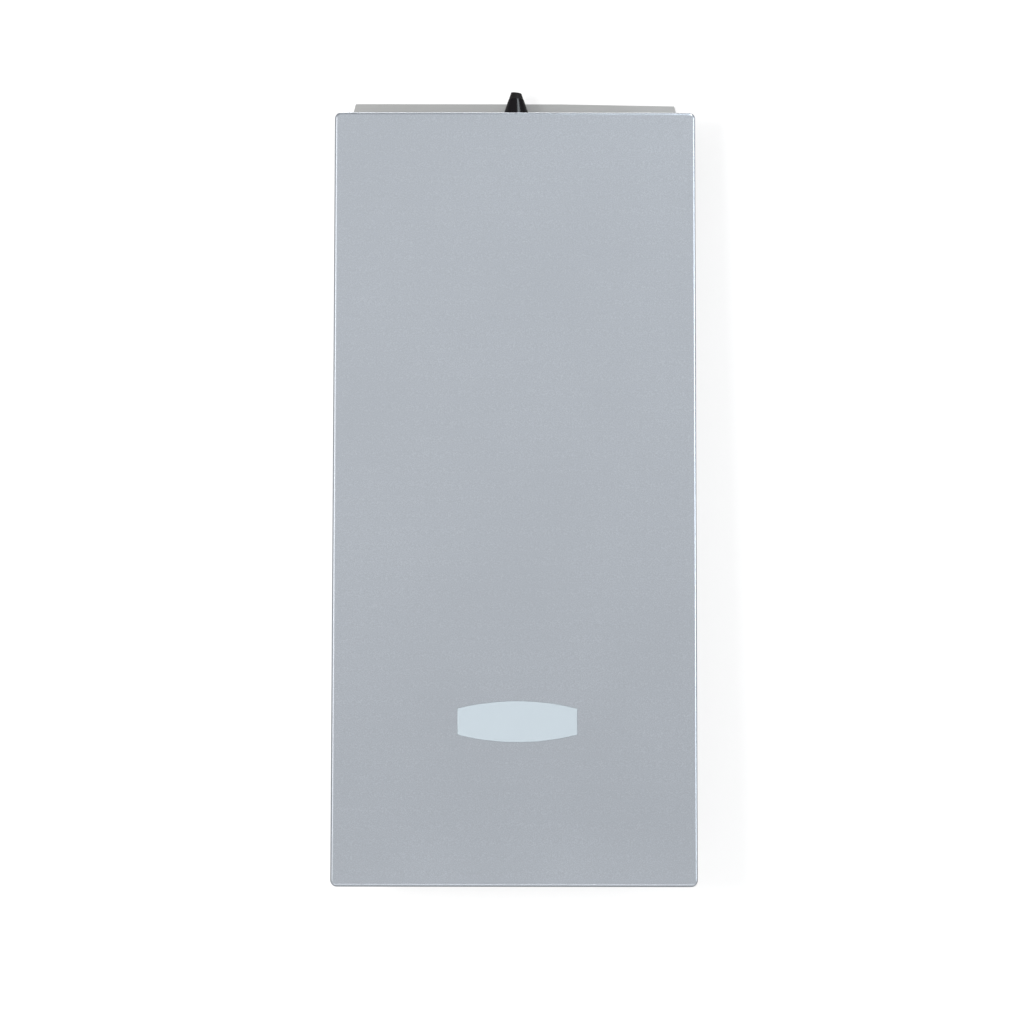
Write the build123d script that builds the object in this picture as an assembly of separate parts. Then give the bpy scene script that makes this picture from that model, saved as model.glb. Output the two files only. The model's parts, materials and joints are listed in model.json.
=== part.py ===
"""Wall battery unit: a slim wedge-shaped pack that hangs on a wall bracket.

Frame: X to the viewer's right, Y into the wall, Z up, millimetres. The origin is the centre of the
bracket's four wall bolts, on the wall plane. The front cover leans: it stands further from the wall
at its bottom edge than at its top edge.
"""

import math
import os

from build123d import *

# Driving dimensions -------------------------------------------------------------------------

COVER_W = 450.0
COVER_H = 958.0
COVER_TOP = 80.0  # height of the cover's top edge above the bolt centre
COVER_TOP_OUT = 70.0  # distance from the wall to the cover's face at its top edge
COVER_BOTTOM_OUT = 126.0  # the same at its bottom edge
COVER_SKIRT = 20.0
COVER_SHEET = 2.0
COVER_CORNER = 8.0
COVER_EDGE = 4.0

CHASSIS_W = 414.0
CHASSIS_SHEET = 2.0
CHASSIS_INSET = 6.0  # the chassis ends this far inside the cover's top and bottom edges
CHASSIS_BACK = 12.0  # air gap between the wall and the chassis
CHASSIS_CORNER = 6.0
PRESS_DEPTH = 0.9

RIM_DEPTH = 10.0  # the chassis rim's front, behind the cover's face
RIM_WIDTH = 12.0
INNER_COVER_T = 2.0
GASKET_T = 2.0

BRACKET_T = 3.0
BRACKET_W = 420.0
BRACKET_TOP_W = 407.0
BRACKET_RISE = 22.0  # how far the bracket shows above the cover
BRACKET_SHOULDER = 25.0  # height of its slanted ends
BRACKET_DROP = 2.4  # its top edge falls away by this much at the right end
BRACKET_DROP_X = 60.0
BRACKET_BOTTOM = -75.0
BOLT_X = 160.0
BOLT_Z = 45.0
BOLT_HOLE_R = 4.5

HOOK_X = 90.0
HOOK_W = 60.0
HOOK_OUT = 10.0
HOOK_SHEET = 2.5
HOOK_LEDGE = 3.0
HOOK_LIP_TOP = 16.0

BOOT_Y = -31.0
BOOT_X = 1.4
BOOT_NECK_R = 10.0
BOOT_COLLAR_R = 17.0
BOOT_SHOULDER_R = 9.7
BOOT_TIP_R = 6.4
BOOT_BORE_R = 4.8
BOOT_COLLAR_TOP = COVER_TOP + 2.0
BOOT_SHOULDER_TOP = COVER_TOP + 22.8
BOOT_TIP_TOP = COVER_TOP + 31.6
BOOT_BOTTOM = 60.0
BOOT_CUT_DEG = 7.0

WINDOW_W = 147.4
WINDOW_SIDE_H = 32.0
WINDOW_H = 50.4
WINDOW_X = 3.2
WINDOW_DROP = 758.0  # from the cover's top edge to the window's centre, along the face
WINDOW_PROUD = 0.5

CELL_COLUMNS = 3
CELL_ROWS = 5
CELL_BODY_X = 118.0
CELL_BODY_Z = 160.0
CELL_THICK = 48.0
CELL_PITCH_X = 132.0
CELL_PITCH_Z = 162.0
CELL_FIRST_X = -195.0
CELL_FIRST_Z = -868.0
CELL_BACK_Y = -15.0
TERMINAL_OFFSET_Z = 50.0
TERMINAL_OUT = 4.0
BUSBAR_T = 2.0

KNOB_Y = -34.0
KNOB_Z = 10.0
KNOB_R = 19.0
KNOB_OUT = 13.0
SHAFT_R = 4.0

BUTTON_Y = -34.0
BUTTON_Z = -28.0
BUTTON_R = 5.5
BUTTON_PROUD = 2.6

WIRING_FLOOR_Z = -54.0  # top face of the bulkhead under the wiring compartment
RISER_X = 110.0

# Worked out from the driving dimensions --------------------------------------------------------

COVER_BOTTOM = COVER_TOP - COVER_H
LEAN = math.degrees(math.atan((COVER_BOTTOM_OUT - COVER_TOP_OUT) / COVER_H))
FACE_LENGTH = COVER_H / math.cos(math.radians(LEAN))
FACE_MID_Z = (COVER_TOP + COVER_BOTTOM) / 2
FACE_MID_Y = -(COVER_TOP_OUT + COVER_BOTTOM_OUT) / 2
# On the leaning face: +Y goes inwards from the cover's outer face and +Z runs up along it.
FACE = Pos(0, FACE_MID_Y, FACE_MID_Z) * Rot(X=-LEAN)

CHASSIS_TOP = COVER_TOP - CHASSIS_INSET
CHASSIS_BOTTOM = COVER_BOTTOM + CHASSIS_INSET
CHASSIS_HALF = CHASSIS_W / 2
CELL_FRONT_Y = CELL_BACK_Y - CELL_THICK
WINDOW_Z = FACE_LENGTH / 2 - WINDOW_DROP
TRAY_Y = CELL_FRONT_Y - 2.0  # back face of the electronics tray
TRAY_T = 2.0
TRAY_FRONT = TRAY_Y - TRAY_T


def face_y(z, depth=0.0):
    """Y of the plane that lies depth behind the cover's outer face, at height z."""
    out = COVER_TOP_OUT + (COVER_TOP - z) * math.tan(math.radians(LEAN))
    return -out + depth / math.cos(math.radians(LEAN))


def face_z(z):
    """Height z as a distance along the leaning face from its middle."""
    return (z - FACE_MID_Z) / math.cos(math.radians(LEAN))


def span(x0, x1, y0, y1, z0, z1):
    """A box between two corners."""
    return Pos((x0 + x1) / 2, (y0 + y1) / 2, (z0 + z1) / 2) * Box(abs(x1 - x0), abs(y1 - y0), abs(z1 - z0))


def rod(radius, start, end):
    """A cylinder along X, Y or Z between two points."""
    a, b = Vector(*start), Vector(*end)
    return Plane(origin=a, z_dir=b - a) * Cylinder(
        radius, (b - a).length, align=(Align.CENTER, Align.CENTER, Align.MIN)
    )


def wedge(half, bottom, top, back_y, depth):
    """The wall-side wedge between back_y and the plane depth behind the cover's face."""
    outline = Polygon(
        (back_y, bottom),
        (back_y, top),
        (face_y(top, depth), top),
        (face_y(bottom, depth), bottom),
        align=None,
    )
    return extrude(Plane.YZ * outline, amount=half, both=True)


def face_plate(width, z0, z1, depth0, depth1):
    """A plate parallel to the cover's face, between two heights along it."""
    return FACE * span(-width / 2, width / 2, depth0, depth1, z0, z1)


def pan_screw(head_r, head_h, shank_r, shank_l):
    """A pan-head screw along Z with the underside of its head at the origin, pointing down."""
    head = Cylinder(head_r, head_h, align=(Align.CENTER, Align.CENTER, Align.MIN))
    head = fillet(head.edges().group_by(Axis.Z)[-1], head_h * 0.45)
    slot = Pos(0, 0, head_h) * Box(head_r * 1.2, head_r * 0.25, head_h * 0.8)
    cross = Pos(0, 0, head_h) * Box(head_r * 0.25, head_r * 1.2, head_h * 0.8)
    shank = Cylinder(shank_r, shank_l, align=(Align.CENTER, Align.CENTER, Align.MAX))
    return head + shank - slot - cross


def face_screw(x, z, depth, head_r, head_h, shank_r, shank_l):
    """A pan-head screw on the leaning face, its head standing out at that depth."""
    return FACE * Pos(x, depth, z) * Rot(X=90) * pan_screw(head_r, head_h, shank_r, shank_l)


def group(solids):
    """Separate solids held together as one node."""
    return Compound(children=[s for shape in solids for s in shape.solids()])


# Wall bracket ----------------------------------------------------------------------------------


def wall_bracket():
    top = COVER_TOP + BRACKET_RISE
    shoulder = top - BRACKET_SHOULDER
    half, top_half = BRACKET_W / 2, BRACKET_TOP_W / 2
    outline = Wire(
        [
            Line((-half, BRACKET_BOTTOM), (-half, shoulder)),
            Line((-half, shoulder), (-top_half, top)),
            Line((-top_half, top), (BRACKET_DROP_X, top)),
            Line((BRACKET_DROP_X, top), (top_half, top - BRACKET_DROP)),
            Line((top_half, top - BRACKET_DROP), (half, shoulder)),
            Line((half, shoulder), (half, BRACKET_BOTTOM)),
            Line((half, BRACKET_BOTTOM), (-half, BRACKET_BOTTOM)),
        ]
    )
    plate = extrude(Plane.XZ * make_face(outline), amount=BRACKET_T)
    upright = plate.edges().filter_by(Axis.Y)
    plate = fillet(upright, 0.8)
    foot = span(-half + 20, half - 20, -9, -BRACKET_T, BRACKET_BOTTOM, BRACKET_BOTTOM + BRACKET_T)
    plate += foot
    for x in (-HOOK_X, HOOK_X):
        left, right = x - HOOK_W / 2, x + HOOK_W / 2
        plate -= span(left, right, -BRACKET_T, 0, HOOK_LEDGE, HOOK_LIP_TOP + 10)
        plate += span(left, right, -HOOK_OUT, -BRACKET_T / 2, 0, HOOK_LEDGE)
        lip = span(left, right, -HOOK_OUT, -HOOK_OUT + HOOK_SHEET, 0, HOOK_LIP_TOP)
        plate += fillet(lip.edges().group_by(Axis.Z)[-1].filter_by(Axis.X), 0.8)
    for x in (-BOLT_X, BOLT_X):
        for z in (-BOLT_Z, BOLT_Z):
            plate -= rod(BOLT_HOLE_R, (x, -BRACKET_T, z), (x, 0, z))
    return plate


def hook_liners():
    """Nylon clips on the hook ledges, which the hanger rail's lip rests on."""
    floor = HOOK_LEDGE
    return group(
        span(x - 20, x + 20, -HOOK_OUT + HOOK_SHEET + 0.1, -BRACKET_T, floor, floor + 1.0)
        for x in (-HOOK_X, HOOK_X)
    )


# Chassis ---------------------------------------------------------------------------------------


def rear_chassis():
    outer = wedge(CHASSIS_HALF, CHASSIS_BOTTOM, CHASSIS_TOP, -CHASSIS_BACK, RIM_DEPTH)
    outer = fillet(outer.edges().filter_by(Axis.Y), CHASSIS_CORNER)
    sheet = CHASSIS_SHEET
    inner = wedge(
        CHASSIS_HALF - sheet,
        CHASSIS_BOTTOM + sheet,
        CHASSIS_TOP - sheet,
        -CHASSIS_BACK - sheet,
        RIM_DEPTH - 5,
    )
    inner = fillet(inner.edges().filter_by(Axis.Y), CHASSIS_CORNER - sheet)
    rim = face_plate(CHASSIS_W, -FACE_LENGTH, FACE_LENGTH, RIM_DEPTH, RIM_DEPTH + sheet) & outer
    open_half = CHASSIS_HALF - RIM_WIDTH
    for low, high in wiring_and_pack_openings():
        rim -= FACE * span(-open_half, open_half, RIM_DEPTH - 1, RIM_DEPTH + sheet + 1, low, high)
    box = (outer - inner) + rim
    hole_x = CHASSIS_HALF
    box -= rod(SHAFT_R + 1, (hole_x - 5, KNOB_Y, KNOB_Z), (hole_x + 5, KNOB_Y, KNOB_Z))
    box -= rod(8.0, (hole_x - 5, BUTTON_Y, BUTTON_Z), (hole_x + 5, BUTTON_Y, BUTTON_Z))
    box -= rod(BOOT_NECK_R, (BOOT_X, BOOT_Y, CHASSIS_TOP - 5), (BOOT_X, BOOT_Y, CHASSIS_TOP + 5))
    for x in PLUG_XS:
        box -= rod(PLUG_NECK_R, (x, PLUG_Y, CHASSIS_BOTTOM - 5), (x, PLUG_Y, CHASSIS_BOTTOM + 5))
    for groove in pressed_grooves():
        box -= groove
    return box


def pressed_grooves():
    """Shallow stiffening grooves in the side and back walls, and two knockout rings underneath."""
    deep = PRESS_DEPTH
    grooves = []
    for side in (-1, 1):
        x0, x1 = sorted((side * (CHASSIS_HALF - deep), side * (CHASSIS_HALF + deep)))
        for y, top in ((-34.0, -90.0), (-58.0, -330.0)):
            grooves.append(span(x0, x1, y - 5, y + 5, CHASSIS_BOTTOM + 60, top))
            for z in (CHASSIS_BOTTOM + 60, top):
                grooves.append(rod(5, (x0, y, z), (x1, y, z)))
        back0, back1 = -CHASSIS_BACK - deep, -CHASSIS_BACK + deep
        x = side * 165.0
        grooves.append(span(x - 8, x + 8, back0, back1, -770, -190))
        for z in (-770, -190):
            grooves.append(rod(8, (x, back0, z), (x, back1, z)))
    grooves.append(span(-110, 110, back0, back1, -398, -382))
    for x in (-110, 110):
        grooves.append(rod(8, (x, back0, -390), (x, back1, -390)))
    for x in (-20.0, 40.0):
        low, high = (x, -62.0, CHASSIS_BOTTOM - 1), (x, -62.0, CHASSIS_BOTTOM + deep)
        grooves.append(rod(14.0, low, high) - rod(13.0, low, high))
    return grooves


def wiring_and_pack_openings():
    """The rim's two openings, as spans along the face: wiring compartment, then cell pack."""
    top = face_z(CHASSIS_TOP) - RIM_WIDTH
    bottom = face_z(CHASSIS_BOTTOM) + RIM_WIDTH
    split = face_z(WIRING_FLOOR_Z)
    return [(split + 5, top), (bottom, split - 7)]


PLUG_XS = (-110.0, -70.0, 110.0)
PLUG_Y = -42.0
PLUG_NECK_R = 7.0


def bulkhead():
    """Folded wall between the wiring compartment and the cell pack, notched for the riser bars."""
    half = CHASSIS_HALF - CHASSIS_SHEET
    z0, z1 = WIRING_FLOOR_Z - CHASSIS_SHEET, WIRING_FLOOR_Z
    front = face_y(z1, RIM_DEPTH + CHASSIS_SHEET) + 0.3
    plate = span(-half, half, front, -CHASSIS_BACK - CHASSIS_SHEET, z0, z1)
    plate += span(-half, half, -CHASSIS_BACK - CHASSIS_SHEET - 2, -CHASSIS_BACK - CHASSIS_SHEET, z1, z1 + 5)
    return plate - span(RISER_X - 36, RISER_X + 36, front - 1, CELL_FRONT_Y + 4, z0 - 1, z1 + 1)


def hanger_rail():
    """Z-section on the chassis's back whose lip drops behind the bracket's hooks."""
    half = HOOK_X + HOOK_W / 2 + 10
    lip_front, lip_back = -6.2, -3.8
    rest = HOOK_LEDGE + 1.1
    rail = span(-half, half, -CHASSIS_BACK, -CHASSIS_BACK + 2.4, 20, 50)
    rail += span(-half, half, -CHASSIS_BACK, lip_back, 20, 22.4)
    rail += span(-half, half, lip_front, lip_back, rest, 22.4)
    for i in range(7):
        x = -120 + 40 * i
        dome = rod(3.2, (x, -CHASSIS_BACK + 2.4, 38), (x, -CHASSIS_BACK + 4.2, 38))
        rail += fillet(dome.edges().group_by(Axis.Y)[-1], 1.2)
    return rail


def wall_bumpers():
    shapes = []
    for x in (-150.0, 150.0):
        pad = rod(14, (x, -CHASSIS_BACK, -820), (x, 0, -820))
        shapes.append(fillet(pad.edges().group_by(Axis.Y)[-1], 2.0))
    return group(shapes)


def rear_heat_sink():
    """Finned plate on the chassis's back, in the air gap to the wall."""
    back = -CHASSIS_BACK
    plate = span(-130, 130, back, back + 2, -760, -460)
    for i in range(22):
        x = -126 + 12 * i
        plate += span(x - 0.9, x + 0.9, back + 2, back + 9, -756, -464)
    return plate


def back_liner():
    return span(-200, 200, CELL_BACK_Y, -CHASSIS_BACK - CHASSIS_SHEET, CELL_FIRST_Z, WIRING_FLOOR_Z - 4)


# Cells -----------------------------------------------------------------------------------------


def cell(column, row):
    """A prismatic cell lying on its side: its two terminals face +X."""
    x0 = CELL_FIRST_X + column * CELL_PITCH_X
    z0 = CELL_FIRST_Z + row * CELL_PITCH_Z
    mid_z = z0 + CELL_BODY_Z / 2
    mid_y = CELL_BACK_Y - CELL_THICK / 2
    can = span(x0, x0 + CELL_BODY_X, CELL_FRONT_Y, CELL_BACK_Y, z0, z0 + CELL_BODY_Z)
    can = fillet(can.edges().filter_by(Axis.X), 3.0)
    solids = [can]
    face = x0 + CELL_BODY_X
    for dz in (-TERMINAL_OFFSET_Z, TERMINAL_OFFSET_Z):
        solids.append(span(face, face + TERMINAL_OUT, mid_y - 11, mid_y + 11, mid_z + dz - 8, mid_z + dz + 8))
    solids.append(rod(5.0, (face, mid_y, mid_z), (face + 0.8, mid_y, mid_z)))
    return group(solids)


def busbars():
    """Links up each column of cells and two links across at the ends of neighbouring columns."""
    mid_y = CELL_BACK_Y - CELL_THICK / 2
    shapes = []
    for column in range(CELL_COLUMNS):
        x = CELL_FIRST_X + column * CELL_PITCH_X + CELL_BODY_X + TERMINAL_OUT
        for row in range(CELL_ROWS - 1):
            upper = CELL_FIRST_Z + row * CELL_PITCH_Z + CELL_BODY_Z / 2 + TERMINAL_OFFSET_Z
            lower = CELL_FIRST_Z + (row + 1) * CELL_PITCH_Z + CELL_BODY_Z / 2 - TERMINAL_OFFSET_Z
            shapes.append(span(x, x + BUSBAR_T, mid_y - 10, mid_y + 10, upper - 8, lower + 8))
    for column, row, side in ((0, CELL_ROWS - 1, 1), (1, 0, -1)):
        x = CELL_FIRST_X + column * CELL_PITCH_X + CELL_BODY_X + TERMINAL_OUT
        z = CELL_FIRST_Z + row * CELL_PITCH_Z + CELL_BODY_Z / 2 + side * TERMINAL_OFFSET_Z
        front = CELL_FRONT_Y - 0.2
        foot = span(x, x + BUSBAR_T, front - 1.6, mid_y + 10, z - 8, z + 8)
        bridge = span(x, x + CELL_PITCH_X + BUSBAR_T, front - 1.6, front, z - 8, z + 8)
        far = x + CELL_PITCH_X
        shapes.append(foot + bridge + span(far, far + BUSBAR_T, front - 1.6, mid_y + 10, z - 8, z + 8))
    return group(shapes)


def cell_spacers():
    """Foam sheets between the rows of cells."""
    shapes = []
    for column in range(CELL_COLUMNS):
        x0 = CELL_FIRST_X + column * CELL_PITCH_X
        for row in range(1, CELL_ROWS):
            z = CELL_FIRST_Z + row * CELL_PITCH_Z
            shapes.append(span(x0, x0 + CELL_BODY_X, CELL_FRONT_Y + 1, CELL_BACK_Y, z - 2, z))
    return group(shapes)


def clamp_rails():
    """Upright T and L rails that hold the cells down on the liner."""
    top = CELL_FIRST_Z + CELL_ROWS * CELL_PITCH_Z - 40
    bottom = CELL_FIRST_Z + 50
    front = CELL_FRONT_Y
    shapes = []
    for column in (1, 2):
        gap = CELL_FIRST_X + column * CELL_PITCH_X
        web = span(gap - 3.5, gap - 1.5, front, CELL_BACK_Y, bottom, top)
        flange = span(gap - 8, gap + 8, front - 1.6, front, bottom, top)
        shapes.append(web + flange)
    left = CELL_FIRST_X
    shapes.append(
        span(left - 4, left - 2, front, CELL_BACK_Y, bottom, top)
        + span(left - 4, left + 8, front - 1.6, front, bottom, top)
    )
    for shape_index in (0, 1):
        for z in clear_zones():
            shapes[shape_index] -= z
    return group(shapes)


def clear_zones():
    """Room around the two cross links, where the rails are notched."""
    zones = []
    for column, row, side in ((0, CELL_ROWS - 1, 1), (1, 0, -1)):
        x = CELL_FIRST_X + column * CELL_PITCH_X + CELL_BODY_X
        z = CELL_FIRST_Z + row * CELL_PITCH_Z + CELL_BODY_Z / 2 + side * TERMINAL_OFFSET_Z
        zones.append(span(x - 4, x + CELL_PITCH_X + 12, CELL_FRONT_Y - 6, CELL_BACK_Y + 1, z - 12, z + 12))
    return zones


# Electronics -----------------------------------------------------------------------------------

TRAY_HALF = 165.0
TRAY_BOTTOM, TRAY_TOP = -800.0, -480.0
BOARD_STAND = 6.0
BOARD_T = 1.6


def electronics_tray():
    tray = span(-TRAY_HALF, TRAY_HALF, TRAY_FRONT, TRAY_Y, TRAY_BOTTOM, TRAY_TOP)
    tray = fillet(tray.edges().filter_by(Axis.Y), 6)
    for x in (-TRAY_HALF, TRAY_HALF - 1.5):
        tray += span(x, x + 1.5, TRAY_FRONT - 8, TRAY_FRONT, TRAY_BOTTOM + 8, TRAY_TOP - 8)
    for x in (BMS_X0 + 6, 0, BMS_X1 - 6):
        for z in (BMS_Z0 + 6, BMS_Z1 - 6):
            tray += rod(3.0, (x, TRAY_FRONT, z), (x, BMS_BACK, z))
    return tray


BMS_X0, BMS_X1 = -150.0, 150.0
BMS_Z0, BMS_Z1 = -792.0, -712.0
BMS_BACK = TRAY_FRONT - BOARD_STAND
BMS_FRONT = BMS_BACK - BOARD_T


def bms_board():
    board = span(BMS_X0, BMS_X1, BMS_FRONT, BMS_BACK, BMS_Z0, BMS_Z1)
    return fillet(board.edges().filter_by(Axis.Y), 3)


def bms_heat_sink():
    base = span(-40, 60, BMS_FRONT - 6, BMS_FRONT - 3, BMS_Z0 + 12, BMS_Z1 - 12)
    for i in range(11):
        x = -36 + 9.2 * i
        base += span(x - 0.9, x + 0.9, BMS_FRONT - 18, BMS_FRONT - 6, BMS_Z0 + 12, BMS_Z1 - 12)
    return base


def bms_components():
    """Power transistors under the heat sink, capacitors, chips and connectors on the board."""
    shapes = []
    for i in range(6):
        x = -33 + 16 * i
        shapes.append(span(x, x + 12, BMS_FRONT - 3, BMS_FRONT, BMS_Z0 + 30, BMS_Z0 + 46))
    for i in range(3):
        x, z = -136 + 24 * i, BMS_Z1 - 24
        can = rod(8.0, (x, BMS_FRONT, z), (x, BMS_FRONT - 20, z))
        shapes.append(fillet(can.edges().group_by(Axis.Y)[0], 1.0))
    shapes.append(span(-140, -118, BMS_FRONT - 1.6, BMS_FRONT, BMS_Z0 + 14, BMS_Z0 + 36))
    shapes.append(span(-104, -90, BMS_FRONT - 1.6, BMS_FRONT, BMS_Z0 + 16, BMS_Z0 + 30))
    for i in range(3):
        x = 78 + 23 * i
        shapes.append(span(x, x + 18, BMS_FRONT - 10, BMS_FRONT, BMS_Z1 - 22, BMS_Z1 - 12))
    return group(shapes)


CONTACTOR_X = 70.0
CONTACTOR_Z = -560.0


def contactor():
    """Sealed main contactor with two stud terminals."""
    x, z = CONTACTOR_X, CONTACTOR_Z
    body = span(x - 32, x + 32, TRAY_FRONT - 22, TRAY_FRONT, z - 26, z + 26)
    body = fillet(body.edges().filter_by(Axis.Y), 5)
    foot = span(x - 42, x + 42, TRAY_FRONT - 3, TRAY_FRONT, z - 12, z + 12)
    body += foot
    body = body - rod(2.2, (x - 37, TRAY_FRONT - 5, z), (x - 37, TRAY_FRONT + 1, z))
    body = body - rod(2.2, (x + 37, TRAY_FRONT - 5, z), (x + 37, TRAY_FRONT + 1, z))
    studs = [rod(4.0, (x + dx, TRAY_FRONT - 22, z), (x + dx, TRAY_FRONT - 28, z)) for dx in (-16, 16)]
    return group([body, *studs])


FUSE_X, FUSE_Z = -80.0, -560.0


def fuse_holder():
    base = span(FUSE_X - 45, FUSE_X + 45, TRAY_FRONT - 7, TRAY_FRONT, FUSE_Z - 16, FUSE_Z + 16)
    base = fillet(base.edges().filter_by(Axis.Y), 3)
    for dx in (-38, 30):
        base += span(FUSE_X + dx, FUSE_X + dx + 8, TRAY_FRONT - 11, TRAY_FRONT - 7, FUSE_Z - 10, FUSE_Z + 10)
    return base


def main_fuse():
    y = TRAY_FRONT - 7 - 10.2
    barrel = rod(10.0, (FUSE_X - 28, y, FUSE_Z), (FUSE_X + 28, y, FUSE_Z))
    barrel = fillet(barrel.edges().filter_by(GeomType.CIRCLE), 1.0)
    blades = [
        span(FUSE_X + a, FUSE_X + b, TRAY_FRONT - 13, TRAY_FRONT - 11, FUSE_Z - 8, FUSE_Z + 8)
        for a, b in ((-40, -27), (27, 40))
    ]
    return barrel + blades[0] + blades[1]


def riser_bar(side):
    """Flat bar from the electronics tray up to the wiring compartment's terminals."""
    x0, x1 = sorted((RISER_X + side * 12, RISER_X + side * 30))
    front, back = CELL_FRONT_Y - 1.8, CELL_FRONT_Y - 0.2
    return span(x0, x1, front, back, TRAY_TOP - 14, WIRING_FLOOR_Z + 30)


LED_HALF_W, LED_HALF_H = 64.0, 11.0
LED_BOARD_DEPTH = 13.0


def led_board():
    """Strip of status lights behind the window, with its four spacers."""
    depth = LED_BOARD_DEPTH
    x0, x1 = WINDOW_X - LED_HALF_W - 8, WINDOW_X + LED_HALF_W + 8
    z0, z1 = WINDOW_Z - LED_HALF_H - 8, WINDOW_Z + LED_HALF_H + 8
    solids = [span(x0, x1, depth, depth + BOARD_T, z0, z1)]
    for i in range(10):
        x = WINDOW_X - 54 + 12 * i
        solids.append(span(x - 2.5, x + 2.5, depth - 1, depth, WINDOW_Z - 2.5, WINDOW_Z + 2.5))
    inner = RIM_DEPTH - GASKET_T
    for x in (x0 + 4, x1 - 4):
        for z in (z0 + 4, z1 - 4):
            solids.append(rod(2.4, (x, inner, z), (x, depth, z)))
    return FACE * group(solids)


# Inner covers ----------------------------------------------------------------------------------

INNER_HALF = CHASSIS_HALF - 3.0


def pack_span():
    """Heights along the face that the pack cover and its gasket run between."""
    return face_z(CHASSIS_BOTTOM) + 3, face_z(WIRING_FLOOR_Z) - 1


def pack_gasket():
    low, high = pack_span()
    depth0, depth1 = RIM_DEPTH - GASKET_T, RIM_DEPTH
    ring = span(-INNER_HALF, INNER_HALF, depth0, depth1, low, high)
    ring = fillet(ring.edges().filter_by(Axis.Y), 4)
    ring -= span(-INNER_HALF + 8, INNER_HALF - 8, depth0 - 1, depth1 + 1, low + 8, high - 5)
    for x, z in pack_screw_points():
        ring -= rod(2.4, (x, depth0 - 1, z), (x, depth1 + 1, z))
    return FACE * ring


def pack_screw_points():
    low, high = pack_span()
    side_x = INNER_HALF - 4.0
    steps = 7
    points = []
    for i in range(steps):
        z = low + 24 + (high - low - 48) * i / (steps - 1)
        points += [(-side_x, z), (side_x, z)]
    for x in (-130.0, 0.0, 130.0):
        points.append((x, low + 4))
    return points


def stud_points():
    """Where the cover's four ball studs snap in, as places on the face."""
    low, high = pack_span()
    x = 184.0
    return [(sx * x, z) for z in (low + 40, high - 30) for sx in (-1, 1)]


def pack_cover():
    low, high = pack_span()
    depth1 = RIM_DEPTH - GASKET_T
    depth0 = depth1 - INNER_COVER_T
    plate = span(-INNER_HALF, INNER_HALF, depth0, depth1, low, high)
    plate = fillet(plate.edges().filter_by(Axis.Y), 4)
    light = span(
        WINDOW_X - LED_HALF_W,
        WINDOW_X + LED_HALF_W,
        depth0 - 1,
        depth1 + 1,
        WINDOW_Z - LED_HALF_H,
        WINDOW_Z + LED_HALF_H,
    )
    plate -= fillet(light.edges().filter_by(Axis.Y), 4)
    for x, z in pack_screw_points():
        plate -= rod(2.1, (x, depth0 - 1, z), (x, depth1 + 1, z))
    for x, z in stud_points():
        plate -= rod(8.0, (x, depth0 - 1, z), (x, depth1 + 1, z))
    for z in (high - 200, high - 330, high - 460):
        groove = span(-150, 150, depth0 - 1, depth0 + 0.6, z - 12, z + 12)
        plate -= fillet(groove.edges().filter_by(Axis.Y), 10)
    return FACE * plate


def cover_screws():
    """Pan-head screws of the pack cover, then of the touch guard."""
    depth = RIM_DEPTH - GASKET_T - INNER_COVER_T
    screws = [face_screw(x, z, depth, 4.0, 2.2, 2.0, 3.9) for x, z in pack_screw_points()]
    screws += [face_screw(x, z, RIM_DEPTH - 3, 4.0, 2.2, 2.0, 2.9) for x, z in shield_screw_points()]
    return group(screws)


SOCKET_LEN = 8.0
BALL_R = 3.7


def cover_sockets():
    """Snap sockets set in the pack cover for the front cover's ball studs."""
    depth = RIM_DEPTH - GASKET_T
    shapes = []
    for x, z in stud_points():
        body = rod(8.0, (x, depth - INNER_COVER_T, z), (x, depth + SOCKET_LEN, z))
        body += rod(9.5, (x, depth, z), (x, depth + 1.5, z))
        body -= rod(4.1, (x, depth - INNER_COVER_T - 1, z), (x, depth + SOCKET_LEN - 1.4, z))
        shapes.append(body)
    return FACE * group(shapes)


def shield_span():
    low, high = wiring_and_pack_openings()[0]
    return low - 3, high + 8


def terminal_shield():
    """Clear touch guard over the wiring compartment."""
    low, high = shield_span()
    plate = span(-INNER_HALF, INNER_HALF, RIM_DEPTH - 3, RIM_DEPTH, low, high)
    plate = fillet(plate.edges().filter_by(Axis.Y), 4)
    for x, z in shield_screw_points():
        plate -= rod(2.1, (x, RIM_DEPTH - 4, z), (x, RIM_DEPTH + 1, z))
    return FACE * plate


def shield_screw_points():
    low, high = shield_span()
    x = INNER_HALF - 4.0
    return [(sx * x, z) for sx in (-1, 1) for z in (low + 10, high - 10)]


# Wiring compartment ----------------------------------------------------------------------------

BLOCK_X0, BLOCK_X1 = RISER_X - 44, RISER_X + 44
BLOCK_Z0, BLOCK_Z1 = WIRING_FLOOR_Z + 6, WIRING_FLOOR_Z + 40
BLOCK_FRONT = CELL_FRONT_Y - 0.2


def terminal_block():
    """Moulded block with a centre barrier; the riser bars lie on its front face."""
    back = -CHASSIS_BACK - CHASSIS_SHEET
    block = span(BLOCK_X0, BLOCK_X1, BLOCK_FRONT, back, BLOCK_Z0, BLOCK_Z1)
    block = fillet(block.edges().filter_by(Axis.Y), 3)
    block += span(RISER_X - 2, RISER_X + 2, BLOCK_FRONT - 2, BLOCK_FRONT, BLOCK_Z0 + 4, BLOCK_Z1 - 2)
    return block - span(BLOCK_X0 - 1, BLOCK_X1 + 1, BLOCK_FRONT + 12, back - 4, BLOCK_Z0 + 8, BLOCK_Z1 - 8)


def power_terminals():
    """Low cap screws that clamp the two riser bars onto the block."""
    shapes = []
    front = BLOCK_FRONT - 1.6
    for x in (RISER_X - 21, RISER_X + 21):
        head = rod(4.5, (x, front, WIRING_FLOOR_Z + 20), (x, front - 1.4, WIRING_FLOOR_Z + 20))
        shapes.append(fillet(head.edges().group_by(Axis.Y)[0], 0.5))
    return group(shapes)


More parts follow.
